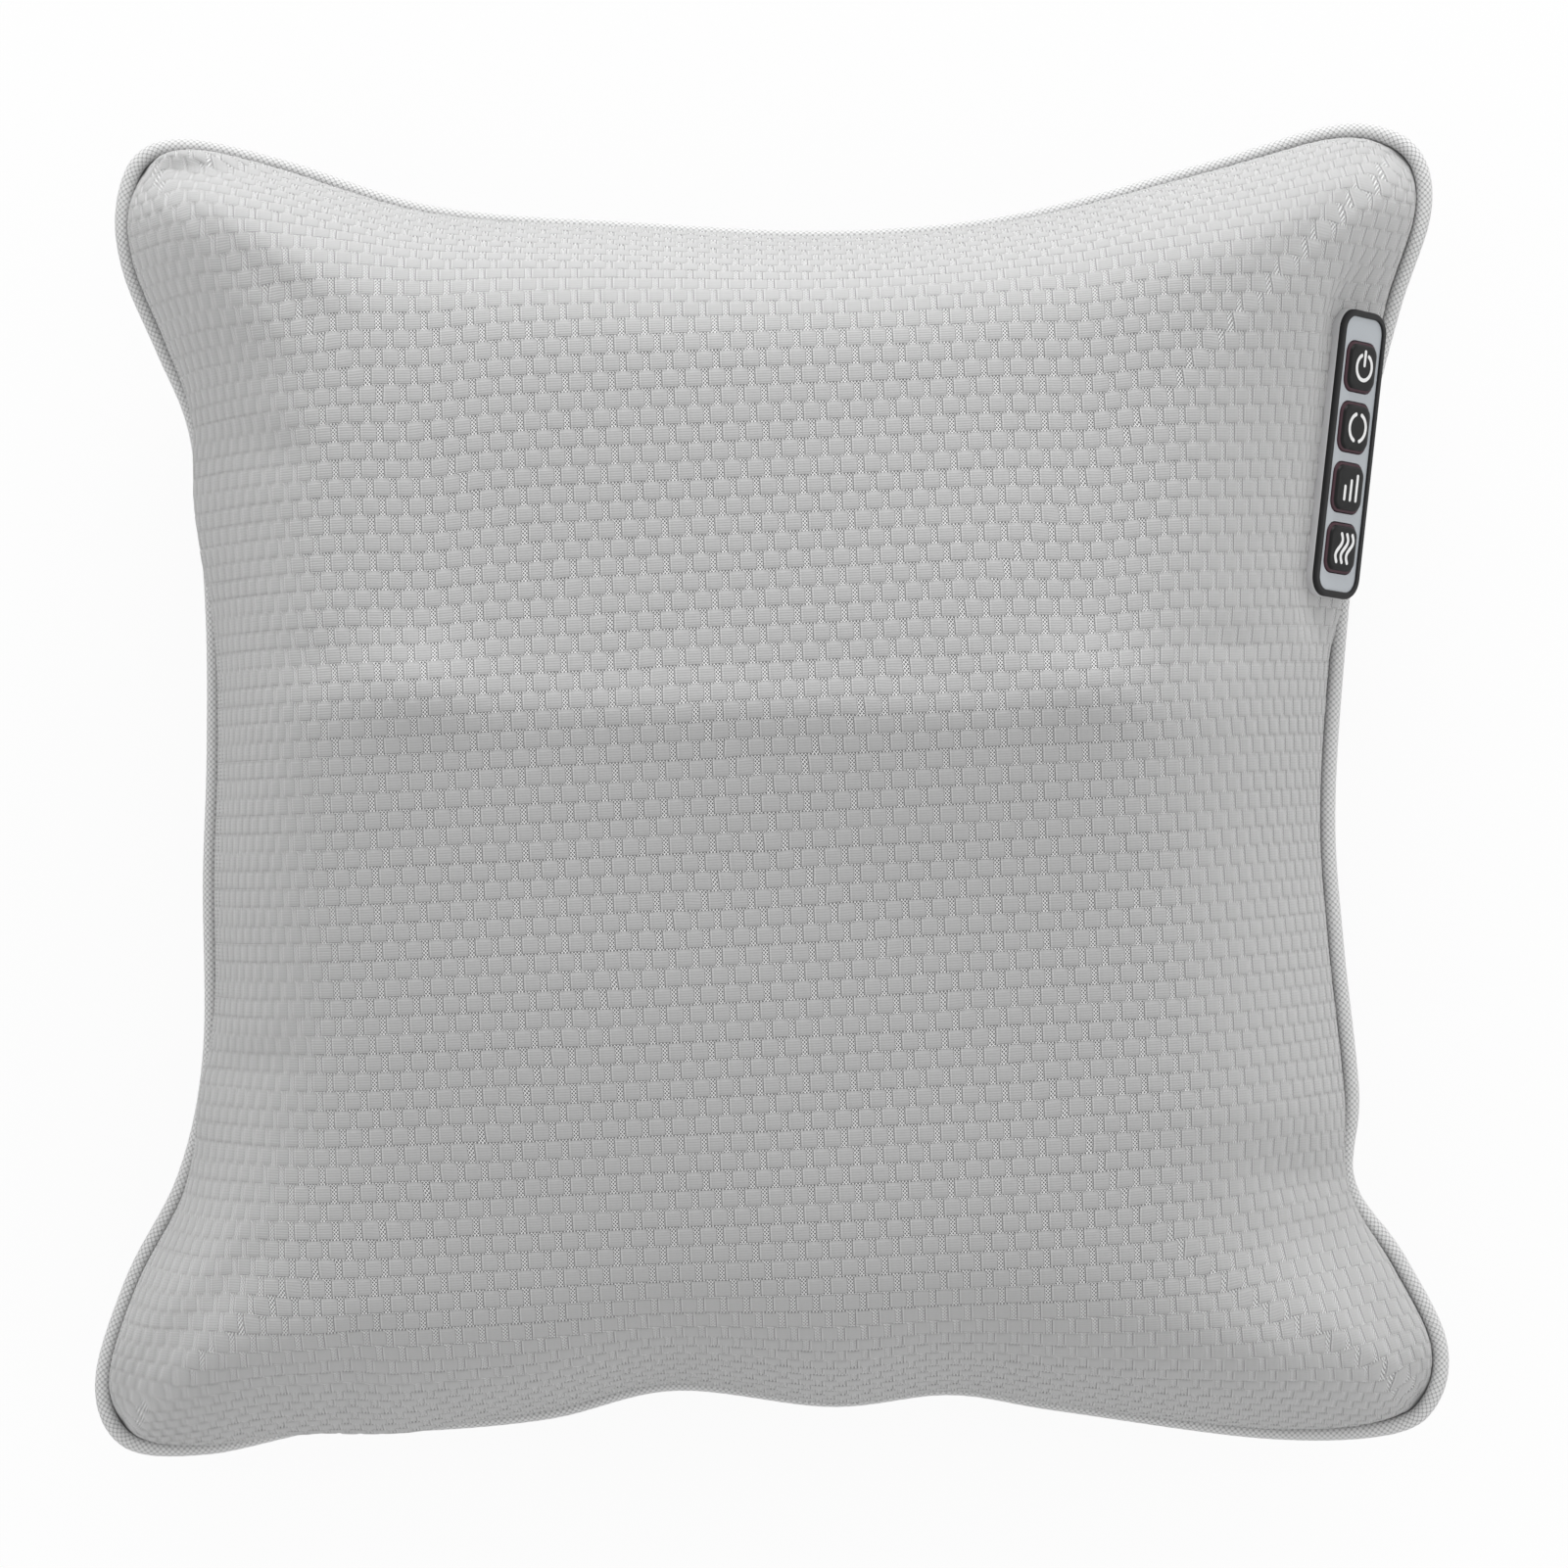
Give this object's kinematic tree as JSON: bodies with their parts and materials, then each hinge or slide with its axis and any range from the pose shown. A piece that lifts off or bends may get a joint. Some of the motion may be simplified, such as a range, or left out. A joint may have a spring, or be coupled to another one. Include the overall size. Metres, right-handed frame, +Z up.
{
  "type": "massage cushion",
  "caption": "Square shiatsu massage cushion with crowned grey fabric face, piped seam, side control pad, back zip and geared kneading rotors inside",
  "frame": {"origin": "on the resting face, under the middle of the cushion's bounding box", "axes": "+Z up out of the massaging face, +Y to the top edge, +X to the side with the control pad"},
  "size_m": [0.3418, 0.3305, 0.1204],
  "materials": {
    "cushion_fabric": "grey jacquard fabric with small puffed cells",
    "back_fabric": "plain grey polyester",
    "piping_fabric": "plain light grey canvas",
    "foam": "open-cell polyurethane foam",
    "zip_tape": "woven polyester tape",
    "zip_coil": "polyester coil",
    "zip_metal": "painted die-cast zinc",
    "housing_plastic": "moulded ABS",
    "steel": "bright steel",
    "gear_plastic": "moulded acetal",
    "bronze": "sintered bronze",
    "motor_steel": "zinc-plated steel",
    "worm_steel": "turned steel",
    "black_plastic": "black nylon",
    "arm_plastic": "glass-filled nylon",
    "head_plastic": "smooth moulded ABS",
    "circuit_board": "glass-epoxy board",
    "lamp_red": "red lamp lens",
    "lamp_window": "clear red plastic window",
    "cable_sheath": "flexible PVC",
    "pad_plastic": "cool grey ABS with a dark rim",
    "key_rubber": "black silicone rubber with white printed signs",
    "dome_rubber": "translucent silicone"
  },
  "bodies": {
    "cushion": {"back_cover": "back_fabric", "back_foam_sheet": "foam", "base_housing": "housing_plastic", "case_screws": "steel", "drive_lid": "housing_plastic", "driver_board": "circuit_board", "driver_components": "black_plastic", "foam_surround": "foam", "front_cover": "cushion_fabric", "heat_lamps": "lamp_red", "idler_pins": "steel", "inlet_cable": "cable_sheath", "inlet_centre_pin": "steel", "inlet_ring_nut": "black_plastic", "key_board": "circuit_board", "key_domes": "dome_rubber", "keypad_cable": "cable_sheath", "lamp_board": "circuit_board", "lamp_cable": "cable_sheath", "lamp_window": "lamp_window", "motor_cable": "cable_sheath", "motor_can": "motor_steel", "motor_end_cap": "black_plastic", "motor_strap": "motor_steel", "output_bushes": "bronze", "pad_bezel": "pad_plastic", "pad_clamp_frame": "black_plastic", "power_inlet": "black_plastic", "seam_piping": "piping_fabric", "worm_end_bush": "bronze", "zip_coils": "zip_coil", "zip_tapes": "zip_tape"},
    "left_rotor": {"left_output_shaft": "steel", "left_output_gear": "gear_plastic", "left_rotor_arm": "arm_plastic", "left_massage_heads": "head_plastic", "left_rotor_screw": "steel"},
    "right_rotor": {"right_output_shaft": "steel", "right_output_gear": "gear_plastic", "right_rotor_arm": "arm_plastic", "right_massage_heads": "head_plastic", "right_rotor_screw": "steel"},
    "left_idler": {"left_worm_wheel": "gear_plastic"},
    "right_idler": {"right_worm_wheel": "gear_plastic"},
    "worm_shaft": {"motor_shaft": "steel", "worm": "worm_steel"},
    "slider": {"zip_slider": "zip_metal"},
    "pull": {"zip_pull": "zip_metal"},
    "power_button": {"power_key": "key_rubber"},
    "direction_button": {"direction_key": "key_rubber"},
    "speed_button": {"speed_key": "key_rubber"},
    "warmth_button": {"warmth_key": "key_rubber"}
  },
  "joints": [
    {"name": "left_rotor_spin", "type": "hinge", "parent": "cushion", "child": "left_rotor", "pos_m": [-0.052, 0.022, 0.03], "axis": [0, 0, 1], "continuous": true},
    {"name": "right_rotor_spin", "type": "hinge", "parent": "cushion", "child": "right_rotor", "pos_m": [0.052, 0.022, 0.03], "axis": [0, 0, 1], "continuous": true},
    {"name": "left_idler_spin", "type": "hinge", "parent": "cushion", "child": "left_idler", "pos_m": [-0.023, 0.0024, 0.028], "axis": [0, 0, 1], "continuous": true},
    {"name": "right_idler_spin", "type": "hinge", "parent": "cushion", "child": "right_idler", "pos_m": [0.023, 0.0024, 0.028], "axis": [0, 0, 1], "continuous": true},
    {"name": "worm_spin", "type": "hinge", "parent": "cushion", "child": "worm_shaft", "pos_m": [0, 0.0024, 0.0279], "axis": [0, 1, 0], "continuous": true},
    {"name": "zip_slide", "type": "slide", "parent": "cushion", "child": "slider", "axis": [-1, 0, 0], "range_m": [0, 0.12]},
    {"name": "zip_pull_swing", "type": "hinge", "parent": "slider", "child": "pull", "pos_m": [0.0705, -0.085, 0.00075], "axis": [0, -1, 0], "range_deg": [0, 150]},
    {"name": "power_press", "type": "slide", "parent": "cushion", "child": "power_button", "axis": [-0.7614, 0.0841, -0.6428], "range_m": [0, 0.0007], "stiffness_N_per_m": 900, "springref_m": -0.0004},
    {"name": "direction_press", "type": "slide", "parent": "cushion", "child": "direction_button", "axis": [-0.7614, 0.0841, -0.6428], "range_m": [0, 0.0007], "stiffness_N_per_m": 900, "springref_m": -0.0004},
    {"name": "speed_press", "type": "slide", "parent": "cushion", "child": "speed_button", "axis": [-0.7614, 0.0841, -0.6428], "range_m": [0, 0.0007], "stiffness_N_per_m": 900, "springref_m": -0.0004},
    {"name": "warmth_press", "type": "slide", "parent": "cushion", "child": "warmth_button", "axis": [-0.7614, 0.0841, -0.6428], "range_m": [0, 0.0007], "stiffness_N_per_m": 900, "springref_m": -0.0004}
  ],
  "couplings": [
    {"joint": "right_rotor_spin", "follows": "left_rotor_spin", "ratio": -1},
    {"joint": "left_idler_spin", "follows": "left_rotor_spin", "ratio": -4},
    {"joint": "right_idler_spin", "follows": "left_rotor_spin", "ratio": 4},
    {"joint": "worm_spin", "follows": "left_rotor_spin", "ratio": 144}
  ]
}
